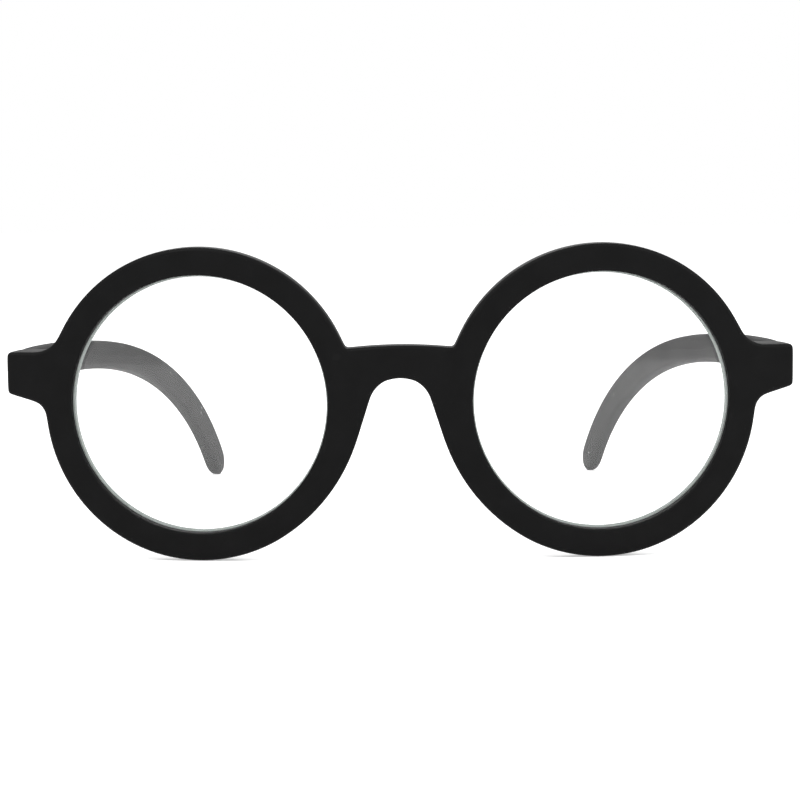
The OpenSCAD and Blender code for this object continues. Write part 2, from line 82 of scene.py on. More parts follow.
RIM_STEP = math.radians(5)  # a rim's arc has a vertex at least this often
BAND_W = 0.8  # band inside the outline, for the rounded edge
LEDGE_W = 1.9  # strip round the opening
FACE_ROWS = 3  # cuts between band and ledge
ARCH_STEP = math.radians(24)  # first step down the nose arch, about its own middle
ARCH_END = math.radians(183)  # from the crown's fillet to here the ledge's vertices are even
NOSE_TURN = math.radians(240)  # where the fuller rim beside the nose ends
PAD_START, PAD_END = math.radians(176), math.radians(242)
PAD_SLANT = 0.3  # how far a pad leans to the lens centre for each millimetre that it stands out
COLUMN_DIGITS = 4  # vertices whose angles agree to so many digits are one column
LUG_LOW, LUG_HIGH = -1.2, 10.8  # faces between these heights become the lug
LUG_REACH = 6  # enough to be cut back to the seat
SWELL_OVERLAP = 1.2  # how far the swell of the bridge runs into each rim
AXIS_BEHIND_SEAT = 1.9  # from the seat, where a temple butts, to its hinge axis
SEAT_RIM = 0.15  # narrow edge round the seat
POCKET_GAP = 0.03  # room round the hinge plate
POCKET_OPEN = 0.12  # how far the pocket is cut past the seat, so that it is open behind
OPENING_GAP = 0.05  # added to the opening's radius, to clear the lens

# Lenses, in millimetres

LENS_GAP = 0.05  # taken off the lens's radius
LENS_FRONT = -0.5  # the front face's edge, ahead of the groove

# Temples, in millimetres, with places from the butt along the middle line

SEAT_GAP = 0.03  # between endpiece and temple
STATION_GAP = 3.1  # about this between a bar's sections
END_EDGE = 0.2  # a section so near the butt keeps its edge sharp, and half so near at the tip
TIP_LEN = 4.5  # rounded end
TIP_ANGLES = [math.radians(angle) for angle in (15, 30, 45, 58, 65)]  # round the tip
TIP_END = 0.97  # the last section against the one before it
THIN_TIP = 0.6  # how far the thickness follows the height round the tip
PATH_STEPS = 46
BOW_REACH = 0.95  # share of its length that a temple reaches back
HOOK_START, HOOK_POWER = 25, 2.75  # where the slope starts, and how late it steepens
FLARE_LEN = 48  # over which the butt height narrows to the arm height
TAPER, TAPER_START = 0.3, 110  # height lost towards the tip, and from where on
LIFT_START = 30  # from here on the path is raised or lowered to meet the table
TRIALS = 3  # bars laid to find by how much

# Hinges: machined parts with body, slot and broken edge in millimetres, the rest with slots

FLAT = math.radians(1)  # facets that meet at less than this are one face
SHARP = math.radians(50)  # edges that turn more than this are broken
MACHINED = {
    "spring_housing": ("temple_arm", "hinge_steel", 0.22),
    "front_hinge_plate": ("front", "hinge_steel", 0.1),
    "hinge_slider": ("slider", "hinge_steel", 0.08),
    "hinge_screw": ("front", "screw_steel", 0.07),
    "hinge_spring": ("temple_arm", "spring_steel", 0),
}
SMALL_PARTS = {
    "plate_pins": "screw_steel",
    "housing_pins": "screw_steel",
    "slider_nut": "bush_brass",
    "spring_guide": "bush_brass",
}

# Finishes, with scales in cells to the metre

WHITE = (1, 1, 1, 1)
COLOUR_SPAN = (0.35, 0.65)  # of the noise that varies the colour
ROUGH_SPAN = (0.3, 0.7)  # of the noise that varies the roughness
EDGE_SPAN = (0.51, 0.58)  # of the surface's pointiness, where edges are painted paler: a painted highlight on the plastic, rubbed wear on metal
GRAIN, CLOUD = 2600, 160
SPECKS, SPECK_R = 420, 0.07  # and a speck's radius in cells
SPECKLESS = 0.62  # share of the cells that have no speck
SMEARS = 60
GRINDING = 5000
MACHINING, WIRE_DRAWING, PATCHES = 900, 1400, 300

# Stage, in metres, watts and degrees

TABLE_R = 4
TABLE_SIDES = 96
TABLE_GREYS = (0.87, 0.87, 0.87, 1), (0.89, 0.89, 0.89, 1)
TABLE_CLOUD = 40
TABLE_GLOW = 0.45
ROOM_LIGHT = 0.75
CAMERA_AT = (0.00183, -0.48731, 0.06375)
CAMERA_TURN = (-0.255, 4.855, -0.645)  # yaw, pitch down and roll
CAMERA_LENS, CAMERA_SENSOR = 108.98, 36  # both in millimetres
CAMERA_CLIP = (0.01, 20)

# Name, place, width and height, and power of each lamp
LAMPS = (
    ("key_lamp", (-0.5, -0.7, 0.9), (0.7, 0.5), 6),
    ("fill_lamp", (0.7, -0.5, 0.6), (0.8, 0.6), 4),
    ("back_lamp", (0, 0.8, 0.8), (0.9, 0.4), 4),
)


# Sizes and colours that a user would change


def length(label, text, default):
    return FloatProperty(
        name=label, description=text, default=default * MM, unit="LENGTH", precision=5
    )


def degrees(label, text, default):
    return FloatProperty(
        name=label, description=text, default=math.radians(default), unit="ROTATION"
    )


def colour(label, text, default):
    return FloatVectorProperty(
        name=label, description=text, default=default, size=4, subtype="COLOR", min=0, max=1
    )


def fraction(label, text, default):
    return FloatProperty(
        name=label, description=text, default=default, min=0, max=1, subtype="FACTOR"
    )


class EYEGLASSES_PG_front(bpy.types.PropertyGroup):
    """Sizes of the front."""

    aperture_r: length("Opening radius", "Radius of each round lens opening", 22.55)
    rim_w: length("Rim width", "Width of the rim around an opening", 5)
    bridge_gap: length("Gap between the rims", "Gap between the rims across the nose", 15.3)
    front_t: length("Thickness", "Thickness of the front", 3.9)
    bend_r: length("Bend radius", "Radius of the bend that wraps the front", 300)
    tilt: degrees("Tilt", "Lean of the rims towards the face", 1.4)
    edge_r: length("Edge radius", "Rounding of the outer edges", 0.7)
    lip_r: length("Lip radius", "Rounding of the openings' edges", 0.4)
    back_flare: length("Back flare", "How much wider an opening is behind", 0.5)
    bridge_top: length("Bridge top", "Top of the bridge above the lens centres", 10.4)
    arch_top: length("Arch top", "Top of the nose arch above the lens centres", 4.7)
    arch_r: length("Arch radius", "Radius of the nose arch", 5.5)
    crown_r: length("Crown radius", "Radius of the bridge's arched top edge", 68)
    bridge_swell: length("Bridge swell", "How far the bridge swells forwards", 1.1)
    nose_fullness: length("Nose fullness", "How much fuller the rims are beside the nose", 3.2)
    pad_h: length("Nose pads", "How far the moulded nose pads stand out", 3.6)
    endpiece_reach: length("Endpiece reach", "How far an endpiece reaches past its rim", 6.95)
    endpiece_top: length("Endpiece top", "Endpiece's top edge above the lens centres", 9.2)
    endpiece_h: length("Endpiece height", "Height of an endpiece's outer face", 7.5)
    endpiece_slope: degrees("Endpiece slope", "Slope of an endpiece's lower edge", 15.5)
    endpiece_d: length("Endpiece depth", "Depth of an endpiece at its outer edge", 3.4)
    corner_r: length("Corner radius", "Rounding of an endpiece's corners", 0.9)
    top_fillet_r: length("Upper fillet", "Fillet between rim and endpiece, above", 5)
    low_fillet_r: length("Lower fillet", "Fillet between rim and endpiece, below", 3)
    bridge_fillet_r: length("Bridge fillet", "Fillet between rim and bridge", 0.8)


class EYEGLASSES_PG_temples(bpy.types.PropertyGroup):
    """Sizes of the temples."""

    length: length("Length", "Length of a temple along its middle line", 138)
    butt_h: length("Butt height", "Height where it butts on the endpiece", 7.4)
    arm_h: length("Arm height", "Height along the arm", 5.7)
    butt_t: length("Butt thickness", "Thickness at the hinge", 3.2)
    tip_t: length("Tip thickness", "Thickness at the tip", 3)
    hook_drop: degrees("Hook drop", "Steepest slope of the ear hook", 64)
    bow: length("Bow", "How far the tip stands in from the hinge", 26.5)
    edge_r: length("Edge radius", "Rounding of the long edges", 1)


class EYEGLASSES_PG_lenses(bpy.types.PropertyGroup):
    """Sizes of the lenses."""

    curve_r: length("Curve radius", "Radius of both lens faces", 160)
    thickness: length("Thickness", "Thickness in the middle", 1.9)
    bevel: length("Bevel", "Height of the bevel that sits in the groove", 0.95)
    bevel_half: length("Bevel half width", "Half of the bevel's width at its foot", 0.5)
    chamfer: length("Chamfer", "Ground chamfer round the back", 0.3)
    steps: IntProperty(name="Steps", description="Facets round the edge", default=144, min=32)


class EYEGLASSES_PG_finish(bpy.types.PropertyGroup):
    """Colours and surface of every finish."""

    plastic: colour("Front plastic", "Near-black matt plastic", (0.0034, 0.0034, 0.0035, 1))
    arm: colour("Temple plastic", "Plastic of the temples", (0.0036, 0.0036, 0.0037, 1))
    roughness: fraction("Plastic roughness", "Roughness of the rubbery plastic", 0.5)
    arm_roughness: fraction("Temple roughness", "Roughness of the temples' plastic", 0.62)
    dust: colour("Dust", "Fine pale specks on the temples", (0.55, 0.55, 0.55, 1))
    glass: colour("Lens", "Clear lens", (1, 1, 1, 1))
    # Also the colour of the ground edge's painted glow
    ground: colour("Ground edge", "Ground edge of a lens", (0.47, 0.51, 0.49, 1))
    steel: colour("Hinge steel", "Plated hinge plates and housings", (0.34, 0.34, 0.35, 1))
    screw: colour("Screws and pins", "Bright screws and pins", (0.5, 0.5, 0.51, 1))
    spring: colour("Spring wire", "Drawn spring wire", (0.42, 0.42, 0.44, 1))
    brass: colour("Bushes", "Bushes and nuts", (0.6, 0.47, 0.26, 1))


def in_mm(group):
    """The sizes of a group: lengths in millimetres, angles in radians, counts as they are."""
    sizes = SimpleNamespace()
    for prop in group.bl_rna.properties:
        if prop.identifier not in ("rna_type", "name"):
            value = getattr(group, prop.identifier)
            setattr(sizes, prop.identifier, value / MM if prop.unit == "LENGTH" else value)
    return sizes


# Plan of the front, which the front, the lenses and the temples use


def direction(angle):
    return Vector((math.cos(angle), math.sin(angle)))


def angle_of(point):
    return math.atan2(point.y, point.x)


def edge_fillet(rim_r, normal, distance, fillet_r, side):
    """Centre of a fillet between the rim and a straight edge at a distance along its normal.

    The side is 1 for the fillet that lies counter-clockwise of the normal, and -1 for the other.
    """
    along = distance + fillet_r
    aside = side * math.sqrt((rim_r + fillet_r) ** 2 - along**2)
    return along * direction(normal) + aside * direction(normal + QUARTER)


def front_plan(sizes):
    """Arcs of the half outline, about the lens centre, with the derived depths."""
    plan = SimpleNamespace()
    plan.rim_r = sizes.aperture_r + sizes.rim_w
    plan.offset = plan.rim_r + sizes.bridge_gap / 2  # from the middle of the bridge
    plan.out = plan.rim_r + sizes.endpiece_reach  # to the end of the endpiece
    plan_endpiece(plan, sizes)
    plan_bridge(plan, sizes)
    plan_depths(plan, sizes)
    return plan


def plan_endpiece(plan, sizes):
    """Fillets beside the rim and corners at the outer end, above and below."""
    top, corner_r = sizes.endpiece_top, sizes.corner_r
    corner_x = plan.out - corner_r
    plan.top_mid = edge_fillet(plan.rim_r, QUARTER, top, sizes.top_fillet_r, -1)
    plan.top_corner = Vector((corner_x, top - corner_r))
    normal = sizes.endpiece_slope - QUARTER
    distance = Vector((plan.out, top - sizes.endpiece_h)).dot(direction(normal))
    plan.low_normal = normal
    plan.low_mid = edge_fillet(plan.rim_r, normal, distance, sizes.low_fillet_r, 1)
    corner_y = (distance - corner_r - corner_x * math.cos(normal)) / math.sin(normal)
    plan.low_corner = Vector((corner_x, corner_y))


def plan_bridge(plan, sizes):
    """The arched crown with its fillet, the nose arch and the fuller rim beside the nose."""
    plan.crown_mid = Vector((-plan.offset, sizes.bridge_top - sizes.crown_r))
    span = plan.crown_mid.length
    rim_reach = plan.rim_r + sizes.bridge_fillet_r
    crown_reach = sizes.crown_r + sizes.bridge_fillet_r
    along = (rim_reach**2 - crown_reach**2 + span**2) / (2 * span)
    aside = math.sqrt(rim_reach**2 - along**2)
    across = Vector((plan.crown_mid.y, -plan.crown_mid.x))
    plan.crown_fillet = (along * plan.crown_mid + aside * across) / span
    plan.arch_mid = Vector((-plan.offset, sizes.arch_top - sizes.arch_r))
    plan.nose_mid = -sizes.nose_fullness * direction(NOSE_TURN)
    plan.nose_r = plan.rim_r + sizes.nose_fullness
    to_nose = plan.nose_mid - plan.arch_mid
    open_turn = math.acos((sizes.arch_r + plan.nose_r) / to_nose.length)
    plan.flank_normal = angle_of(to_nose) + open_turn


def plan_depths(plan, sizes):
    """Where the wrapped and tilted front has its lenses, grooves and seats."""
    bend_r = sizes.bend_r
    plan.lens_turn = plan.offset / bend_r

    # The rim bends away from the plane of the lens, and the groove lies at the mean of that
    plan.groove_y = sizes.aperture_r**2 / (4 * bend_r)
    outer = plan.offset + plan.out
    plan.seat_depth = bend_r * (1 - math.cos(outer / bend_r)) + sizes.endpiece_d
    plan.wrap = 2 * outer / bend_r
    lens_back = bend_r * (1 - math.cos(plan.lens_turn))
    edge_back = lens_back - sizes.front_t / 2 + sizes.edge_r
    plan.lens_mid = Vector((bend_r * math.sin(plan.lens_turn), lens_back, 0))
    plan.lens_h = plan.rim_r * math.cos(sizes.tilt) - edge_back * math.sin(sizes.tilt)


def hinge_axis(side):
    """Middle of the hinge screw, in metres on the table."""
    low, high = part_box("hinge_screw_" + side)
    return (low + high) / 2


def table_place(plan):
    """Where the lens frame's origin stands, in metres: the hinges tell how far back."""
    back = hinge_axis("left").y - (plan.seat_depth + AXIS_BEHIND_SEAT) * MM
    return Vector((0, back, plan.lens_h * MM))


# Modelling by hand: small steps with Blender's own operators


def pick_none():
    bpy.ops.object.select_all(action="DESELECT")


def take(obj):
    """Makes this the only selected object, and the active one."""
    pick_none()
    obj.select_set(True)
    bpy.context.view_layer.objects.active = obj


def edit(obj):
    take(obj)
    bpy.ops.object.mode_set(mode="EDIT")


def leave_edit():
    bpy.ops.object.mode_set(mode="OBJECT")


def pick(obj, kind, test, *loops):
    """Selects only what passes the test, and edges only between these named loops of vertices."""
    if obj.mode != "EDIT":
        edit(obj)
    bpy.ops.mesh.select_mode(type=kind)
    bpy.ops.mesh.select_all(action="DESELECT")
    leave_edit()
    mesh = obj.data
    if kind == "VERT":
        for vertex in mesh.vertices:
            vertex.select = bool(test(vertex.co))
    elif kind == "EDGE":
        wanted = {obj.vertex_groups[loop].index for loop in loops}
        for edge in mesh.edges:
            ends = [mesh.vertices[i] for i in edge.vertices]
            found = [wanted & {member.group for member in end.groups} for end in ends]
            between = not wanted or (all(found) and set.union(*found) == wanted)
            edge.select = between and bool(test(*(end.co for end in ends)))
    else:
        for face in mesh.polygons:
            face.select = bool(test(face.center, face.normal))
    bpy.ops.object.mode_set(mode="EDIT")


def pick_all():
    bpy.ops.mesh.select_all(action="SELECT")


def pick_loop():
    """Selects only the active named loop."""
    bpy.ops.mesh.select_all(action="DESELECT")
    bpy.ops.object.vertex_group_select()


def name_loop(obj, name):
    """Keeps the selected vertices as a named loop."""
    bpy.ops.object.vertex_group_assign_new()
    obj.vertex_groups.active.name = name


def shift(x=0.0, y=0.0, z=0.0, **more):
    bpy.ops.transform.translate(value=(x, y, z), orient_type="GLOBAL", **more)


def extrude(x=0.0, y=0.0, z=0.0):
    bpy.ops.mesh.extrude_region_move(TRANSFORM_OT_translate={"value": (x, y, z)})


def weld(distance=WELD):
    """Merges all vertices that are closer than this."""
    pick_all()
    bpy.ops.mesh.remove_doubles(threshold=distance)


def face_outwards():
    pick_all()
    bpy.ops.mesh.normals_make_consistent(inside=False)


def finish_modifier(obj, kind, **settings):
    """Adds a modifier with these settings and applies it."""
    take(obj)
    modifier = obj.modifiers.new(kind.title(), kind)
    for name, value in settings.items():
        setattr(modifier, name, value)
    bpy.ops.object.modifier_apply(modifier=modifier.name)


def apply_place(obj):
    take(obj)
    bpy.ops.object.transform_apply(location=True, rotation=True, scale=True)


def turn_and_move(obj, rotation=(0, 0, 0), location=(0, 0, 0)):
    obj.rotation_euler = Euler(rotation)
    obj.location = location
    apply_place(obj)


def to_table(obj, place):
    """From millimetres in the lens frame to metres on the table."""
    obj.scale = (MM, MM, MM)
    obj.location = place
    apply_place(obj)


def smooth(obj, angle=30):
    """Shades smooth, but for edges that turn more than this many degrees."""
    take(obj)
    bpy.ops.object.shade_smooth_by_angle(angle=math.radians(angle))


class Pen:
    """Draws an outline from its last point, flat in X and Y."""

    def __init__(self, name, start):
        """One vertex in edit mode, from a plane merged at its middle."""
        pick_none()
        bpy.ops.mesh.primitive_plane_add(size=1, location=(start.x, start.y, 0))
        self.obj = bpy.context.object
        self.obj.name = name
        self.at = start.copy()
        apply_place(self.obj)
        edit(self.obj)
        bpy.ops.mesh.select_mode(type="VERT")
        pick_all()
        bpy.ops.mesh.merge(type="CENTER")

    def line(self, end, parts=1):
        step = (end - self.at) / parts
        for _ in range(parts):
            extrude(step.x, step.y)
        self.at = end.copy()

    def arc(self, middle, start, end, steps):
        """Spin turns clockwise about +Z, so its angle is the other way round."""
        bpy.ops.mesh.spin(
            steps=steps,
            angle=start - end,
            center=(middle.x, middle.y, 0),
            axis=(0, 0, 1),
        )
        self.at = middle + (self.at - middle).length * direction(end)


# Front


def full_angle(at):
    return math.atan2(at.y, at.x) % (2 * math.pi)


def radius(at):
    return math.hypot(at.x, at.y)


def draw_half(sizes, plan):
    """The half outline of the front, lying face up round the lens centre."""
    low_turn, top_turn = angle_of(plan.low_mid), angle_of(plan.top_mid)
    low_normal, flank_normal = plan.low_normal, plan.flank_normal
    crown_turn = angle_of(plan.crown_fillet)
    crown_from = angle_of(plan.crown_mid - plan.crown_fillet)
    crown_to = angle_of(plan.crown_fillet - plan.crown_mid)
    nose_end = NOSE_TURN - 2 * math.pi
    pen = Pen("front", Vector((0, -plan.rim_r)))

    def rim(start, end):
        pen.arc(Vector((0, 0)), start, end, steps=math.ceil((end - start) / RIM_STEP))

    # Lower rim and endpiece
    rim(-QUARTER, low_turn)
    pen.arc(plan.low_mid, low_turn + math.pi, low_normal + math.pi, steps=4)
    pen.line(plan.low_corner + sizes.corner_r * direction(low_normal), parts=2)
    pen.arc(plan.low_corner, low_normal, 0, steps=3)
    pen.line(Vector((plan.out, plan.top_corner.y)), parts=3)
    pen.arc(plan.top_corner, 0, QUARTER, steps=3)
    pen.line(Vector((plan.top_mid.x, sizes.endpiece_top)), parts=2)
    pen.arc(plan.top_mid, 3 * QUARTER, top_turn + math.pi, steps=6)

    # Upper rim and crown of the bridge
    rim(top_turn, crown_turn)
    pen.arc(plan.crown_fillet, crown_turn - math.pi, crown_from, steps=3)
    pen.arc(plan.crown_mid, crown_to, QUARTER, steps=4)

    # Down the middle, round the arch and beside the nose
    pen.line(Vector((-plan.offset, sizes.arch_top)), parts=4)
    arch_turn = QUARTER - ARCH_STEP
    pen.arc(plan.arch_mid, QUARTER, arch_turn, steps=1)
    pen.arc(plan.arch_mid, arch_turn, flank_normal, steps=6)
    pen.line(plan.nose_mid - plan.nose_r * direction(flank_normal), parts=4)
    pen.arc(plan.nose_mid, flank_normal - math.pi, nose_end, steps=8)
    rim(nose_end, -QUARTER)
    weld()
    return pen.obj


def band_inwards(obj, sizes, plan):
    """A narrow band inside the outline, for the rounded edge, ending in a selected loop."""
    name_loop(obj, "outline")
    bpy.ops.mesh.edge_face_add()
    bpy.ops.mesh.inset(thickness=BAND_W)
    bpy.ops.object.vertex_group_remove_from(use_all_groups=True)
    name_loop(obj, "band")
    bpy.ops.mesh.delete(type="ONLY_FACE")

    # The halves join along the middle, so the band's vertices beside it are moved onto it
    middle = -plan.offset
    pick(obj, "VERT", lambda at: middle + NEAR < at.x < middle + BAND_W + HAIR)
    shift(x=-BAND_W)
    low, high = sizes.arch_top + NEAR, sizes.arch_top + BAND_W
    pick(obj, "VERT", lambda at: at.x < middle + HAIR and low < at.y < high + NEAR)
    bpy.ops.transform.resize(value=(1, 0, 1), center_override=(middle, high, 0))
    pick_loop()


def ring_inwards(obj, name, to_radius):
    """A strip of faces from the selected loop to a circle round the lens centre."""
    bpy.ops.mesh.extrude_region_move()
    bpy.ops.object.vertex_group_remove_from(use_all_groups=True)
    name_loop(obj, name)
    leave_edit()
    finish_modifier(
        obj,
        "CAST",
        cast_type="CYLINDER",
        vertex_group=name,
        factor=1,
        use_radius_as_size=False,
        size=to_radius,
    )
    edit(obj)


def space_out(obj, at_radius, start, end):
    """Spaces the vertices of a circle evenly between two angles, so that no strip gets too thin."""

    def on_circle(at):
        return abs(radius(at) - at_radius) < HAIR and start < full_angle(at) < end

    leave_edit()
    found = sorted((full_angle(v.co), v.index) for v in obj.data.vertices if on_circle(v.co))
    for place, (angle, index) in enumerate(found, 1):
        even = start + (end - start) * place / (len(found) + 1)
        move = at_radius * (direction(even) - direction(angle))
        spot = obj.data.vertices[index].co.copy()
        pick(obj, "VERT", lambda at: (at - spot).length < TINY)
        shift(move.x, move.y)
    pick_loop()


class EYEGLASSES_OT_front(bpy.types.Operator):
    """Model the front in one moulding: rims, keyhole bridge, nose pads and endpieces"""

    bl_idname = "eyeglasses.front"
    bl_label = "Front"

    def execute(self, context):
        sizes = in_mm(context.scene.eyeglass_front)
        plan = front_plan(sizes)
        ledge_r = sizes.aperture_r + LEDGE_W

        # Half of the front, flat
        obj = draw_half(sizes, plan)
        band_inwards(obj, sizes, plan)
        ring_inwards(obj, "ledge", ledge_r)
        space_out(obj, ledge_r, angle_of(plan.crown_fillet), ARCH_END)
        ring_inwards(obj, "opening", sizes.aperture_r + OPENING_GAP)
        self.open_middle(obj, plan)
        pick(obj, "EDGE", lambda one, two: abs(radius(one) - radius(two)) > NEAR, "band", "ledge")
        bpy.ops.mesh.subdivide(number_cuts=FACE_ROWS)
        leave_edit()

        # Its thickness, flared opening, pad, rounded edges and lug
        finish_modifier(obj, "SOLIDIFY", thickness=sizes.front_t, offset=0)
        edit(obj)
        face_outwards()
        self.open_middle(obj, plan)
        self.flare_back(obj, sizes)
        self.draw_pads(obj, sizes, ledge_r)
        self.round_edges(obj, sizes, plan)
        self.raise_lug(obj, ledge_r)

        # The whole front, swollen, stood up, bent and tilted
        turn_and_move(obj, location=(plan.offset, 0, 0))
        finish_modifier(obj, "MIRROR", merge_threshold=WELD)
        self.swell_bridge(obj, sizes)
        turn_and_move(obj, rotation=(QUARTER, 0, 0))
        finish_modifier(
            obj, "SIMPLE_DEFORM", deform_method="BEND", deform_axis="Z", angle=plan.wrap
        )
        turn_and_move(obj, rotation=(sizes.tilt, 0, 0))
        self.cut_seats(obj, plan)

        # Rounded off, on the table, with its hinge pockets
        finish_modifier(obj, "SUBSURF", levels=1, render_levels=1)
        to_table(obj, table_place(plan))
        for side in SIDES:
            self.cut_pocket(obj, side)
        smooth(obj)
        dress(obj, "front", "front_plastic", "front_frame")
        return {"FINISHED"}

    def open_middle(self, obj, plan):
        """Takes away the faces in the middle of the bridge, where the halves are to join."""
        pick(obj, "FACE", lambda at, normal: at.x < HAIR - plan.offset)
        bpy.ops.mesh.delete(type="FACE")

    def flare_back(self, obj, sizes):
        """Makes each opening a little wider behind the lens."""
        half_t, inner_r = sizes.front_t / 2, sizes.aperture_r + NEAR
        pick(obj, "EDGE", lambda one, two: abs(one.z - two.z) > half_t and radius(one) < inner_r)
        bpy.ops.mesh.subdivide(number_cuts=2)
        pick(obj, "VERT", lambda at: at.z < NEAR - half_t and radius(at) < inner_r)
        wider = 1 + sizes.back_flare / sizes.aperture_r
        bpy.ops.transform.resize(value=(wider, wider, 1), center_override=(0, 0, 0))

    def draw_pads(self, obj, sizes, ledge_r):
        """Draws the back beside the nose out into a pad, column by column."""

        def is_back(at):
            return -sizes.front_t < 2 * at.z + HAIR < 0 and radius(at) > ledge_r - HAIR

        def column(at):
            return round(full_angle(at), COLUMN_DIGITS)

        leave_edit()
        columns = {column(v.co) for v in obj.data.vertices if is_back(v.co)}
        edit(obj)
        for angle in sorted(columns):
            along = (angle - PAD_START) / (PAD_END - PAD_START)
            if 0 < along < 1:
                out = sizes.pad_h * math.sin(math.pi * along) ** 2
                lean = out * PAD_SLANT * direction(angle)
                pick(obj, "VERT", lambda at: is_back(at) and column(at) == angle)
                shift(-lean.x, -lean.y, -out)

    def round_edges(self, obj, sizes, plan):
        """Rounds the outline and the openings in front and behind, except where the lug will stand."""
        face_z, lip_reach = sizes.front_t / 2 - HAIR, sizes.aperture_r + sizes.back_flare + NEAR

        def outer(one, two):
            lug = one.z < 0 and min(one.x, two.x) > 0 and LUG_LOW < (one.y + two.y) / 2 < LUG_HIGH
            return one.z * two.z > 0 and max(one.x, two.x) > HAIR - plan.offset and not lug

        def lip(one, two):
            level = abs(one.z) > face_z and abs(one.z - two.z) < HAIR
            return level and max(radius(one), radius(two)) < lip_reach

        pick(obj, "EDGE", outer, "outline")
        bpy.ops.mesh.bevel(offset=sizes.edge_r, segments=3, affect="EDGES", clamp_overlap=False)
        pick(obj, "EDGE", lip)
        bpy.ops.mesh.bevel(offset=sizes.lip_r, segments=2, affect="EDGES", clamp_overlap=False)

    def raise_lug(self, obj, ledge_r):
        """Draws the back of the endpiece out past the seat of the temple."""

        def lug(at, normal):
            beside = at.x > 0 and radius(at) > ledge_r and LUG_LOW < at.y < LUG_HIGH
            return beside and normal.z < -MOSTLY

        pick(obj, "FACE", lug)
        extrude(z=-LUG_REACH)
        leave_edit()

    def swell_bridge(self, obj, sizes):
        """Swells the middle of the bridge forwards, with a soft crease at each rim."""
        edit(obj)
        pick(obj, "VERT", lambda at: abs(at.x) < HAIR)
        shift(
            z=sizes.bridge_swell,
            use_proportional_edit=True,
            proportional_edit_falloff="INVERSE_SQUARE",
            proportional_size=sizes.bridge_gap / 2 + SWELL_OVERLAP,
        )
        leave_edit()

    def cut_seats(self, obj, plan):
        """Cuts both lugs flat where the temples butt."""
        edit(obj)
        pick_all()
        bpy.ops.mesh.bisect(
            plane_co=(0, plan.seat_depth, 0),
            plane_no=(0, 1, 0),
            use_fill=True,
            clear_outer=True,
            threshold=TINY,
        )
        face_outwards()
        seat = plan.seat_depth - WELD
        pick(obj, "FACE", lambda at, normal: normal.y > WHOLLY and at.y > seat)
        bpy.ops.mesh.inset(thickness=SEAT_RIM)
        leave_edit()

    def cut_pocket(self, obj, side):
        """Cuts the pocket that a hinge plate is let into, flush with the seat."""
        low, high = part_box("front_hinge_plate_" + side)
        gap = Vector((POCKET_GAP, POCKET_GAP, POCKET_GAP)) * MM
        low, high = Vector(low) - gap, Vector(high) + gap
        high.y = hinge_axis(side).y - (AXIS_BEHIND_SEAT - POCKET_OPEN) * MM
        pick_none()
        bpy.ops.mesh.primitive_cube_add(size=1, location=(low + high) / 2)
        cutter = bpy.context.object
        cutter.scale = high - low
        apply_place(cutter)
        finish_modifier(obj, "BOOLEAN", operation="DIFFERENCE", solver="EXACT", object=cutter)
        bpy.data.objects.remove(cutter)


# Lenses


class EYEGLASSES_OT_lenses(bpy.types.Operator):
    """Model the clear lenses with the ground bevel that sits in the rim's groove"""

    bl_idname = "eyeglasses.lenses"
    bl_label = "Lenses"

    def execute(self, context):
        front = in_mm(context.scene.eyeglass_front)
        sizes = in_mm(context.scene.eyeglass_lenses)
        plan = front_plan(front)
        for side, sign in SIDES.items():
            obj = self.spin_lens(sizes, plan, front.aperture_r - LENS_GAP)
            obj.name = "clear_lens_" + side
            middle = (sign * plan.lens_mid.x, plan.lens_mid.y, 0)
            turn_and_move(obj, (0, 0, sign * plan.lens_turn), middle)
            turn_and_move(obj, (front.tilt, 0, 0))
            to_table(obj, table_place(plan))
            smooth(obj, angle=12)
            dress(obj, "front", "lens", "lens_" + side)
            obj.data.materials.append(MATERIALS["ground_edge"])
        return {"FINISHED"}

    def spin_lens(self, sizes, plan, edge_r):
        """Draws a half section from the middle of the front to the middle of the back, and spins it."""
        curve_r, groove_y = sizes.curve_r, plan.groove_y
        sag = curve_r - math.sqrt(curve_r**2 - edge_r**2)
        apex = LENS_FRONT + groove_y - sag
        back_edge = apex + sizes.thickness + sag - sizes.chamfer
        sweep = math.asin(edge_r / curve_r)
        back_sweep = math.asin((edge_r - sizes.chamfer) / curve_r)
        front_mid = Vector((0, apex + curve_r))
        back_mid = Vector((0, apex + sizes.thickness + curve_r))
        pen = Pen("lens", Vector((0, apex)))
        pen.arc(front_mid, -QUARTER, sweep - QUARTER, steps=8)
        pen.line(Vector((edge_r, groove_y - sizes.bevel_half)))
        pen.line(Vector((edge_r + sizes.bevel, groove_y)))
        pen.line(Vector((edge_r, groove_y + sizes.bevel_half)))
        pen.line(Vector((edge_r, back_edge)))
        pen.line(back_mid + curve_r * direction(back_sweep - QUARTER))
        pen.arc(back_mid, back_sweep - QUARTER, -QUARTER, steps=8)
        pick_all()
        bpy.ops.mesh.spin(
            steps=sizes.steps, angle=2 * math.pi, center=(0, 0, 0), axis=(0, 1, 0)
        )
        weld()
        face_outwards()
        leave_edit()

        # The bevel and the chamfer take the second material, the ground one with its painted glow
        for face in pen.obj.data.polygons:
            reach = math.hypot(face.center.x, face.center.z)
            face.material_index = int(reach > edge_r - sizes.chamfer)
        return pen.obj


# Temples


def ease(t):
    """From 0 to 1, with a soft start and a soft end."""
    t = max(0, min(1, t))
    return t * t * (3 - 2 * t)


def temple_stations(sizes):
    """Places along a temple's middle line: distance, and the share of its section there."""
    straight = sizes.length - TIP_LEN
    steps = int(straight / STATION_GAP)
    stations = [(straight * i / steps, 1) for i in range(steps + 1)]
    for angle in TIP_ANGLES:
        stations.append((sizes.length - TIP_LEN * (1 - math.sin(angle)), math.cos(angle)))
    place, share = stations[-1]
    stations.append((place + END_EDGE / 2, share * TIP_END))
    stations.insert(1, (END_EDGE, 1))
    return stations


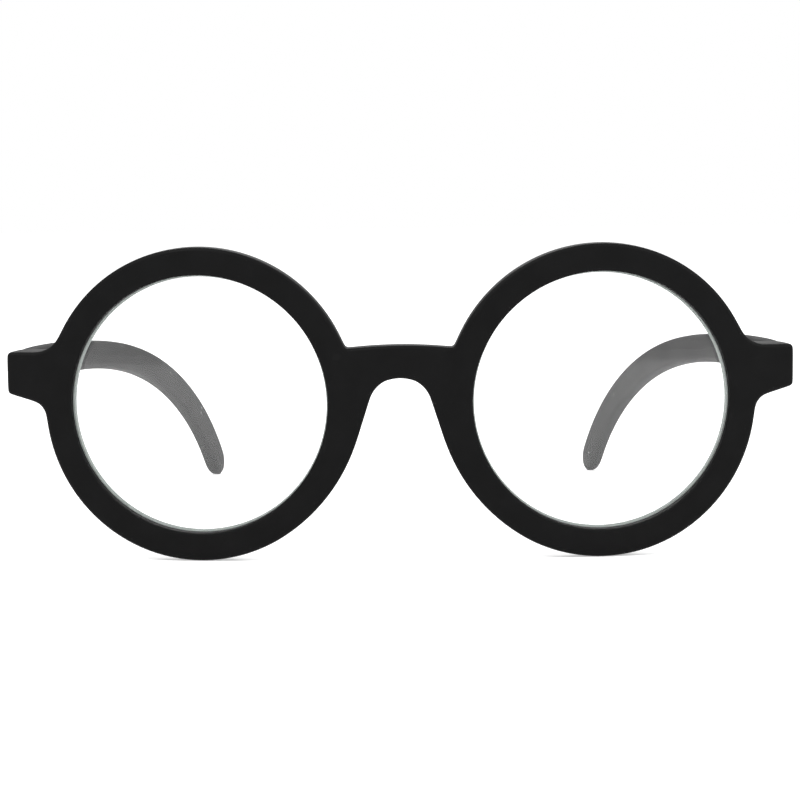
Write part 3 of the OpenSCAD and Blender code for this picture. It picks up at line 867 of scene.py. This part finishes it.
def temple_path(sizes, start, lift=0, lift_to=1):
    """Middle line of the right temple, from the hinge to the tip, bowed in and hooked down."""
    rate = sizes.bow / (BOW_REACH * sizes.length) ** 2
    points, y, z, last = [], 0, 0, 0
    for i in range(PATH_STEPS + 1):
        at = sizes.length * i / PATH_STEPS
        along = max(0, (at + last) / 2 - HOOK_START) / (sizes.length - HOOK_START)
        drop = sizes.hook_drop * along**HOOK_POWER
        y += (at - last) * math.cos(drop) / math.hypot(1, 2 * rate * y)
        z -= (at - last) * math.sin(drop)
        last = at
        raised = lift * max(0, y - LIFT_START) / (lift_to - LIFT_START)
        points.append(start + Vector((-rate * y * y, y, z + raised)))
    return points


class EYEGLASSES_OT_temples(bpy.types.Operator):
    """Model the curved temples with their ear hooks"""

    bl_idname = "eyeglasses.temples"
    bl_label = "Temples"

    def execute(self, context):
        front = in_mm(context.scene.eyeglass_front)
        sizes = in_mm(context.scene.eyeglass_temples)
        plan = front_plan(front)
        path = self.settled_path(sizes, self.butt(front, plan, sizes), plan.lens_h)
        for side, sign in SIDES.items():
            obj = self.along(self.straight_bar(sizes), path)
            obj.name = "temple_moulding_" + side
            if sign < 0:
                obj.scale.x = -1
                apply_place(obj)
                edit(obj)
                face_outwards()
                leave_edit()
            to_table(obj, table_place(plan))
            smooth(obj)
            dress(obj, "temple_arm_" + side, "temple_plastic", "temple_" + side)
        return {"FINISHED"}

    def butt(self, front, plan, sizes):
        """Where the temple's middle line starts, on the seat behind the endpiece."""
        up = front.endpiece_top - front.endpiece_h / 2
        back = (plan.seat_depth + up * math.sin(front.tilt)) / math.cos(front.tilt)
        out = (front.bend_r - back) * math.tan(plan.wrap / 2)
        height = back * math.sin(front.tilt) + up * math.cos(front.tilt)
        return Vector((out - sizes.butt_t / 2, plan.seat_depth + SEAT_GAP, height))

    def settled_path(self, sizes, start, lens_h):
        """The path with which the hook stands on the table, lens_h below, found on trial bars."""
        lift, path = 0, temple_path(sizes, start)
        for _ in range(TRIALS):
            trial = self.along(self.straight_bar(sizes), path)
            lowest = min((v.co for v in trial.data.vertices), key=lambda at: at.z)
            lift -= lens_h + lowest.z
            path = temple_path(sizes, start, lift, lowest.y - start.y)
            bpy.data.objects.remove(trial)
        return path

    def straight_bar(self, sizes):
        """A straight rounded bar along X, drawn out from its butt face and tapered."""
        stations = temple_stations(sizes)
        pick_none()
        bpy.ops.mesh.primitive_plane_add(size=1, rotation=(0, QUARTER, 0))
        obj = bpy.context.object
        obj.scale = (sizes.butt_h, sizes.butt_t, 1)
        apply_place(obj)
        edit(obj)
        pick_all()
        bpy.ops.mesh.bevel(offset=sizes.edge_r, segments=3, affect="VERTICES")
        pick_all()
        section, at = (sizes.butt_t, sizes.butt_h), 0
        for place, share in stations[1:]:
            height = sizes.arm_h + (sizes.butt_h - sizes.arm_h) * (1 - ease(place / FLARE_LEN))
            height -= TAPER * ease((place - TAPER_START) / (sizes.length - TAPER_START))
            thick = sizes.butt_t + (sizes.tip_t - sizes.butt_t) * ease(place / sizes.length)
            wanted = (thick * (1 - THIN_TIP + THIN_TIP * share), height * share)
            extrude(x=place - at)
            bpy.ops.transform.resize(
                value=(1, wanted[0] / section[0], wanted[1] / section[1]),
                center_override=(place, 0, 0),
            )
            section, at = wanted, place
        face_outwards()
        leave_edit()
        return obj

    def along(self, obj, points):
        """Lays the bar along a smooth path."""
        pick_none()
        bpy.ops.curve.primitive_bezier_curve_add()
        path = bpy.context.object
        path.location = (0, 0, 0)
        spline = path.data.splines[0]
        spline.bezier_points.add(len(points) - len(spline.bezier_points))
        for knot, point in zip(spline.bezier_points, points):
            knot.co = point
            knot.handle_left_type = knot.handle_right_type = "AUTO"
        path.data.resolution_u = 12
        path.data.dimensions = "3D"
        path.data.twist_mode = "Z_UP"
        bpy.context.view_layer.update()
        finish_modifier(obj, "CURVE", object=path, deform_axis="POS_X")
        finish_modifier(obj, "SUBSURF", levels=1, render_levels=1)
        bpy.data.objects.remove(path)
        return obj


# Finishes


class Finish:
    """A node material with one Principled shader, built up from small parts."""

    def __init__(self, name):
        self.material = bpy.data.materials.new(name)
        self.material.use_nodes = True
        self.tree = self.material.node_tree
        self.tree.nodes.clear()
        output = self.add("ShaderNodeOutputMaterial")
        self.shader = self.add("ShaderNodeBsdfPrincipled")
        self.link(self.shader, "BSDF", output, "Surface")
        self.place = self.add("ShaderNodeTexCoord")

    def add(self, kind, **values):
        """A new node, with these values on the sockets or settings of that name."""
        node = self.tree.nodes.new(kind)
        sockets = {socket.name.lower().replace(" ", "_"): socket for socket in node.inputs}
        for name, value in values.items():
            if name in sockets:
                sockets[name].default_value = value
            else:
                setattr(node, name, value)
        return node

    def link(self, source, out, target, into):
        self.tree.links.new(source.outputs[out], target.inputs[into])

    def set(self, **values):
        """Sets the shader's sockets, and stops at a name that it doesn't have."""
        for socket in self.shader.inputs:
            name = socket.name.lower().replace(" ", "_")
            if name in values:
                socket.default_value = values.pop(name)
        if values:
            raise ValueError(f"the shader has no {sorted(values)}")

    def noise(self, scale, finer=(1, 1, 1)):
        """Noise fixed to the piece, and so many times finer along X, Y and Z."""
        mapping = self.add("ShaderNodeMapping")
        mapping.inputs["Scale"].default_value = finer
        self.link(self.place, "Object", mapping, "Vector")
        noise = self.add("ShaderNodeTexNoise", scale=scale, detail=3.0, roughness=0.6)
        self.link(mapping, "Vector", noise, "Vector")
        return noise

    def reckon(self, operation, source, out, number):
        """A source's value and a number, put through this operation."""
        node = self.add("ShaderNodeMath", operation=operation)
        node.inputs[1].default_value = number
        self.link(source, out, node, 0)
        return node

    def spread(self, source, out, span, low, high):
        """Maps a span of a value to the one from low to high."""
        node = self.add("ShaderNodeMapRange")
        for name, value in zip(("From Min", "From Max", "To Min", "To Max"), (*span, low, high)):
            node.inputs[name].default_value = value
        self.link(source, out, node, "Value")
        return node

    def vary_colour(self, source, low, high):
        ramp = self.add("ShaderNodeValToRGB")
        for stop, position, rgba in zip(ramp.color_ramp.elements, COLOUR_SPAN, (low, high)):
            stop.position = position
            stop.color = rgba
        self.link(source, "Fac", ramp, "Fac")
        self.link(ramp, "Color", self.shader, "Base Color")

    def vary_roughness(self, source, low, high):
        spread = self.spread(source, "Fac", ROUGH_SPAN, low, high)
        self.link(spread, "Result", self.shader, "Roughness")

    def paint_over(self, source, out, rgba):
        """Mixes this colour over the one that is there, by the source's value."""
        mix = self.add("ShaderNodeMix", data_type="RGBA")

        # A mix node has sockets for numbers, vectors and colours, and these are the ones for colours
        factor, under, over, result = mix.inputs[0], mix.inputs[6], mix.inputs[7], mix.outputs[2]
        base = self.shader.inputs["Base Color"]
        self.tree.links.new(base.links[0].from_socket, under)
        self.tree.links.new(source.outputs[out], factor)
        over.default_value = rgba
        self.tree.links.new(result, base)

    def paint_edge_highlight_and_wear(self, rgba, share, smoother):
        """Paints the outer edges a little paler and makes them smoother than the faces. On the plastic
        the paler edge is a painted highlight on the rounded edges; on metal it is rubbed wear, and the
        smoother edges come from handling.
        """
        surface = self.add("ShaderNodeNewGeometry")
        edge_highlight_and_wear = self.spread(surface, "Pointiness", EDGE_SPAN, 0, share)
        self.paint_over(edge_highlight_and_wear, "Result", rgba)
        polish = self.reckon("MULTIPLY_ADD", edge_highlight_and_wear, "Result", -smoother)
        roughness = self.shader.inputs["Roughness"]
        self.tree.links.new(roughness.links[0].from_socket, polish.inputs[2])
        self.link(polish, "Value", self.shader, "Roughness")

    def bump(self, source, strength, distance):
        bump = self.add("ShaderNodeBump", strength=strength, distance=distance)
        self.link(source, "Fac", bump, "Height")
        self.link(bump, "Normal", self.shader, "Normal")


def toned(rgba, factor):
    return (rgba[0] * factor, rgba[1] * factor, rgba[2] * factor, 1)


def plastic(name, rgba, roughness, gloss):
    """Matt rubbery plastic: fine grain, slight cloudiness in colour and in roughness."""
    finish = Finish(name)
    finish.set(specular_ior_level=gloss)
    grain, cloud = finish.noise(GRAIN), finish.noise(CLOUD)
    finish.vary_colour(cloud, toned(rgba, 0.8), toned(rgba, 1.25))
    finish.vary_roughness(cloud, low=roughness - 0.05, high=roughness + 0.06)
    # Edges painted paler as a painted highlight on the rounded edges, and made smoother as if by
    # handling
    finish.paint_edge_highlight_and_wear(toned(rgba, 2), share=0.5, smoother=0.2)
    finish.bump(grain, strength=0.06, distance=0.00005)
    return finish


def dusty_plastic(name, rgba, roughness, gloss, dust):
    """The same plastic with a few tiny pale specks that have settled on it."""
    finish = plastic(name, rgba, roughness, gloss)
    specks = finish.add("ShaderNodeTexVoronoi", scale=SPECKS)
    finish.link(finish.place, "Object", specks, "Vector")
    near = finish.reckon("LESS_THAN", specks, "Distance", SPECK_R)
    chance = finish.add("ShaderNodeSeparateColor")
    finish.link(specks, "Color", chance, "Color")
    chosen = finish.reckon("GREATER_THAN", chance, "Red", SPECKLESS)
    both = finish.add("ShaderNodeMath", operation="MULTIPLY")
    finish.link(near, "Value", both, 0)
    finish.link(chosen, "Value", both, 1)
    finish.paint_over(both, "Value", dust)
    return finish


def clear_lens(name, rgba):
    """Clear lens with faint smears."""
    finish = Finish(name)
    finish.set(base_color=rgba, transmission_weight=1, ior=1.5, specular_ior_level=0.12)
    finish.vary_roughness(finish.noise(SMEARS, finer=(1, 1, 3)), low=0, high=0.012)
    return finish


def ground_edge(name, rgba):
    """Finely ground lens edge, with a faint painted glow for the light that the lens carries to its
    edge.
    """
    finish = Finish(name)
    # Painted glow: the emission is no lamp, and stands in for the light that the lens carries to its
    # edge
    finish.set(specular_ior_level=0.3, emission_color=rgba, emission_strength=0.12)
    grain = finish.noise(GRINDING)
    finish.vary_colour(grain, toned(rgba, 0.9), toned(rgba, 1.1))
    finish.vary_roughness(grain, low=0.5, high=0.7)
    finish.bump(grain, strength=0.3, distance=0.00003)
    return finish


def metal(name, rgba, roughness, finer, line_scale=MACHINING):
    """Metal with the fine lines of its working, duller patches and rubbed edges."""
    finish = Finish(name)
    finish.set(metallic=1)
    lines, patches = finish.noise(line_scale, finer), finish.noise(PATCHES)
    finish.vary_colour(patches, toned(rgba, 0.82), toned(rgba, 1.08))
    finish.vary_roughness(lines, low=roughness - 0.08, high=roughness + 0.1)
    finish.paint_edge_highlight_and_wear(toned(rgba, 1.4), share=0.8, smoother=0.15)
    finish.bump(lines, strength=0.2, distance=0.00002)
    return finish


def make_finishes(looks):
    """The material of each slot. A metal has its roughness, and how much finer its lines are in XYZ."""
    finishes = {
        "front_plastic": plastic("matt_black_plastic", looks.plastic, looks.roughness, gloss=0.08),
        "temple_plastic": dusty_plastic(
            "temple_black_plastic", looks.arm, looks.arm_roughness, gloss=0.14, dust=looks.dust
        ),
        "lens": clear_lens("clear_lens", looks.glass),
        "ground_edge": ground_edge("ground_lens_edge", looks.ground),
        "hinge_steel": metal("plated_hinge_steel", looks.steel, 0.34, (1, 6, 1)),
        "screw_steel": metal("bright_screw_steel", looks.screw, 0.26, (1, 1, 8)),
        "spring_steel": metal("drawn_spring_wire", looks.spring, 0.3, (4, 1, 1), WIRE_DRAWING),
        "bush_brass": metal("turned_bush_brass", looks.brass, 0.3, (1, 8, 1)),
    }
    return {name: finish.material for name, finish in finishes.items()}


def dress(obj, body, slot, *nodes):
    """Gives a new piece its finish, body and slot, and hides the CAD nodes that it stands for."""

    # Clearing would also put every face back on the first material, so it isn't done without need
    if obj.data.materials:
        obj.data.materials.clear()
    obj.data.materials.append(MATERIALS[slot])
    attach(obj, body)
    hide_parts(*nodes)


# Hinges


class EYEGLASSES_OT_hinges(bpy.types.Operator):
    """Finish the hinges: machined parts with their edges broken, springs, bushes, pins and nuts"""

    bl_idname = "eyeglasses.hinges"
    bl_label = "Hinges"

    def execute(self, context):
        for name, (body, slot, edge_r) in MACHINED.items():
            for side in SIDES:
                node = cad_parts[name + "_" + side]
                obj = self.machined(context, node, edge_r)
                obj.name = "finished_" + name + "_" + side
                whose = body if body == "front" else body + "_" + side
                dress(obj, whose, slot, name + "_" + side)
                if name == "hinge_spring":
                    self.press(obj, side)
        for name, slot in SMALL_PARTS.items():
            for side in SIDES:
                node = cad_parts[name + "_" + side]
                for place in node.material_slots:
                    place.material = MATERIALS[slot]
        return {"FINISHED"}

    def machined(self, context, node, edge_r):
        """The part as cut, with its facets merged into faces and, given a radius, its edges broken."""
        obj = bpy.data.objects.new("part", node.data.copy())
        context.scene.collection.objects.link(obj)
        edit(obj)
        weld(WELD * MM)
        bpy.ops.mesh.dissolve_limited(angle_limit=FLAT)
        if edge_r:
            bpy.ops.mesh.select_mode(type="EDGE")
            bpy.ops.mesh.select_all(action="DESELECT")
            bpy.ops.mesh.edges_select_sharp(sharpness=SHARP)
            bpy.ops.mesh.bevel(
                offset=edge_r * MM, segments=2, affect="EDGES", clamp_overlap=True
            )
        leave_edit()
        smooth(obj)
        return obj

    def press(self, obj, side):
        """Gives the spring a mesh of its own."""
        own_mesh(obj)


# Table, light and camera


class EYEGLASSES_OT_stage(bpy.types.Operator):
    """Lay the white table and set the soft studio light and the camera"""

    bl_idname = "eyeglasses.stage"
    bl_label = "Table, light and camera"

    def execute(self, context):
        self.lay_table()
        self.light_room(context.scene)
        self.set_camera(context.scene)
        context.scene.view_settings.view_transform = "Standard"
        return {"FINISHED"}

    def seen_directly(self, tree):
        """1 for what the camera sees itself, in a reflection or through a lens."""
        path = tree.nodes.new("ShaderNodeLightPath")
        seen = path.outputs["Is Camera Ray"]
        for ray in ("Is Glossy Ray", "Is Transmission Ray"):
            either = tree.nodes.new("ShaderNodeMath")
            either.operation = "MAXIMUM"
            tree.links.new(seen, either.inputs[0])
            tree.links.new(path.outputs[ray], either.inputs[1])
            seen = either.outputs["Value"]
        return seen

    def lay_table(self):
        pick_none()
        bpy.ops.mesh.primitive_circle_add(
            vertices=TABLE_SIDES, radius=TABLE_R, fill_type="NGON"
        )
        table = bpy.context.object
        table.name = "table"
        edit(table)
        pick_all()
        bpy.ops.mesh.inset(thickness=TABLE_R / 2)
        leave_edit()
        finish = Finish("white_table")
        finish.set(roughness=0.9, specular_ior_level=0, emission_color=WHITE)
        finish.vary_colour(finish.noise(TABLE_CLOUD), *TABLE_GREYS)
        glow = finish.add("ShaderNodeMath", operation="MULTIPLY")
        glow.inputs[1].default_value = TABLE_GLOW
        finish.tree.links.new(self.seen_directly(finish.tree), glow.inputs[0])
        finish.link(glow, "Value", finish.shader, "Emission Strength")
        table.data.materials.append(finish.material)

    def light_room(self, scene):
        """White where the world is seen, and plain soft light on the object from it and the lamps."""
        world = bpy.data.worlds.new("studio")
        scene.world = world
        world.use_nodes = True
        tree = world.node_tree
        tree.nodes.clear()
        output = tree.nodes.new("ShaderNodeOutputWorld")
        mix = tree.nodes.new("ShaderNodeMixShader")
        soft = tree.nodes.new("ShaderNodeBackground")
        white = tree.nodes.new("ShaderNodeBackground")
        soft.inputs["Strength"].default_value = ROOM_LIGHT
        soft.inputs["Color"].default_value = WHITE
        white.inputs["Color"].default_value = WHITE
        tree.links.new(self.seen_directly(tree), mix.inputs[0])
        tree.links.new(soft.outputs[0], mix.inputs[1])
        tree.links.new(white.outputs[0], mix.inputs[2])
        tree.links.new(mix.outputs[0], output.inputs[0])
        for name, at, size, power in LAMPS:
            pick_none()
            bpy.ops.object.light_add(type="AREA", location=at)
            lamp = bpy.context.object
            lamp.name = name
            lamp.data.shape = "RECTANGLE"
            lamp.data.size, lamp.data.size_y = size
            lamp.data.energy = power

            # The lamps look at the origin
            lamp.rotation_euler = (-Vector(at)).to_track_quat("-Z", "Y").to_euler()

    def set_camera(self, scene):
        """The camera's own axes come from its yaw, pitch and roll, in that order."""
        pick_none()
        bpy.ops.object.camera_add()
        camera = bpy.context.object
        yaw, pitch, roll = (math.radians(angle) for angle in CAMERA_TURN)
        side = Vector((math.cos(yaw), -math.sin(yaw), 0))
        ahead = Vector((math.sin(yaw), math.cos(yaw), 0))
        above = Vector((0, 0, 1))
        look = math.cos(pitch) * ahead - math.sin(pitch) * above
        top = math.sin(pitch) * ahead + math.cos(pitch) * above
        right = math.cos(roll) * side + math.sin(roll) * top
        up = math.cos(roll) * top - math.sin(roll) * side
        turn = Matrix((right, up, -look)).transposed().to_4x4()
        camera.matrix_world = Matrix.Translation(CAMERA_AT) @ turn
        camera.data.lens = CAMERA_LENS
        camera.data.sensor_width = CAMERA_SENSOR
        camera.data.clip_start, camera.data.clip_end = CAMERA_CLIP
        scene.camera = camera


# Panel and registration


class EYEGLASSES_PT_panel(bpy.types.Panel):
    """Sizes, finishes and pieces of the eyeglasses"""

    bl_idname = "EYEGLASSES_PT_panel"
    bl_label = "Round eyeglasses"
    bl_space_type = "VIEW_3D"
    bl_region_type = "UI"
    bl_category = "Eyeglasses"

    def draw(self, context):
        for group in GROUPS:
            box = self.layout.box()
            box.label(text=group.removeprefix("eyeglass_").title())
            sizes = getattr(context.scene, group)
            for prop in sizes.bl_rna.properties:
                if prop.identifier not in ("rna_type", "name"):
                    box.prop(sizes, prop.identifier)
        for operator in OPERATORS:
            self.layout.operator(operator.bl_idname)


GROUPS = {
    "eyeglass_front": EYEGLASSES_PG_front,
    "eyeglass_temples": EYEGLASSES_PG_temples,
    "eyeglass_lenses": EYEGLASSES_PG_lenses,
    "eyeglass_finish": EYEGLASSES_PG_finish,
}
OPERATORS = (
    EYEGLASSES_OT_stage,
    EYEGLASSES_OT_front,
    EYEGLASSES_OT_lenses,
    EYEGLASSES_OT_temples,
    EYEGLASSES_OT_hinges,
)


def register():
    for kind in (*GROUPS.values(), *OPERATORS, EYEGLASSES_PT_panel):
        bpy.utils.register_class(kind)
    for name, group in GROUPS.items():
        setattr(bpy.types.Scene, name, PointerProperty(type=group))


def unregister():
    for name in GROUPS:
        delattr(bpy.types.Scene, name)
    for kind in (EYEGLASSES_PT_panel, *OPERATORS, *GROUPS.values()):
        bpy.utils.unregister_class(kind)


def main():
    register()
    MATERIALS.update(make_finishes(bpy.context.scene.eyeglass_finish))
    bpy.ops.eyeglasses.stage()
    bpy.ops.eyeglasses.front()
    bpy.ops.eyeglasses.lenses()
    bpy.ops.eyeglasses.temples()
    bpy.ops.eyeglasses.hinges()


if __name__ == "__main__":
    main()
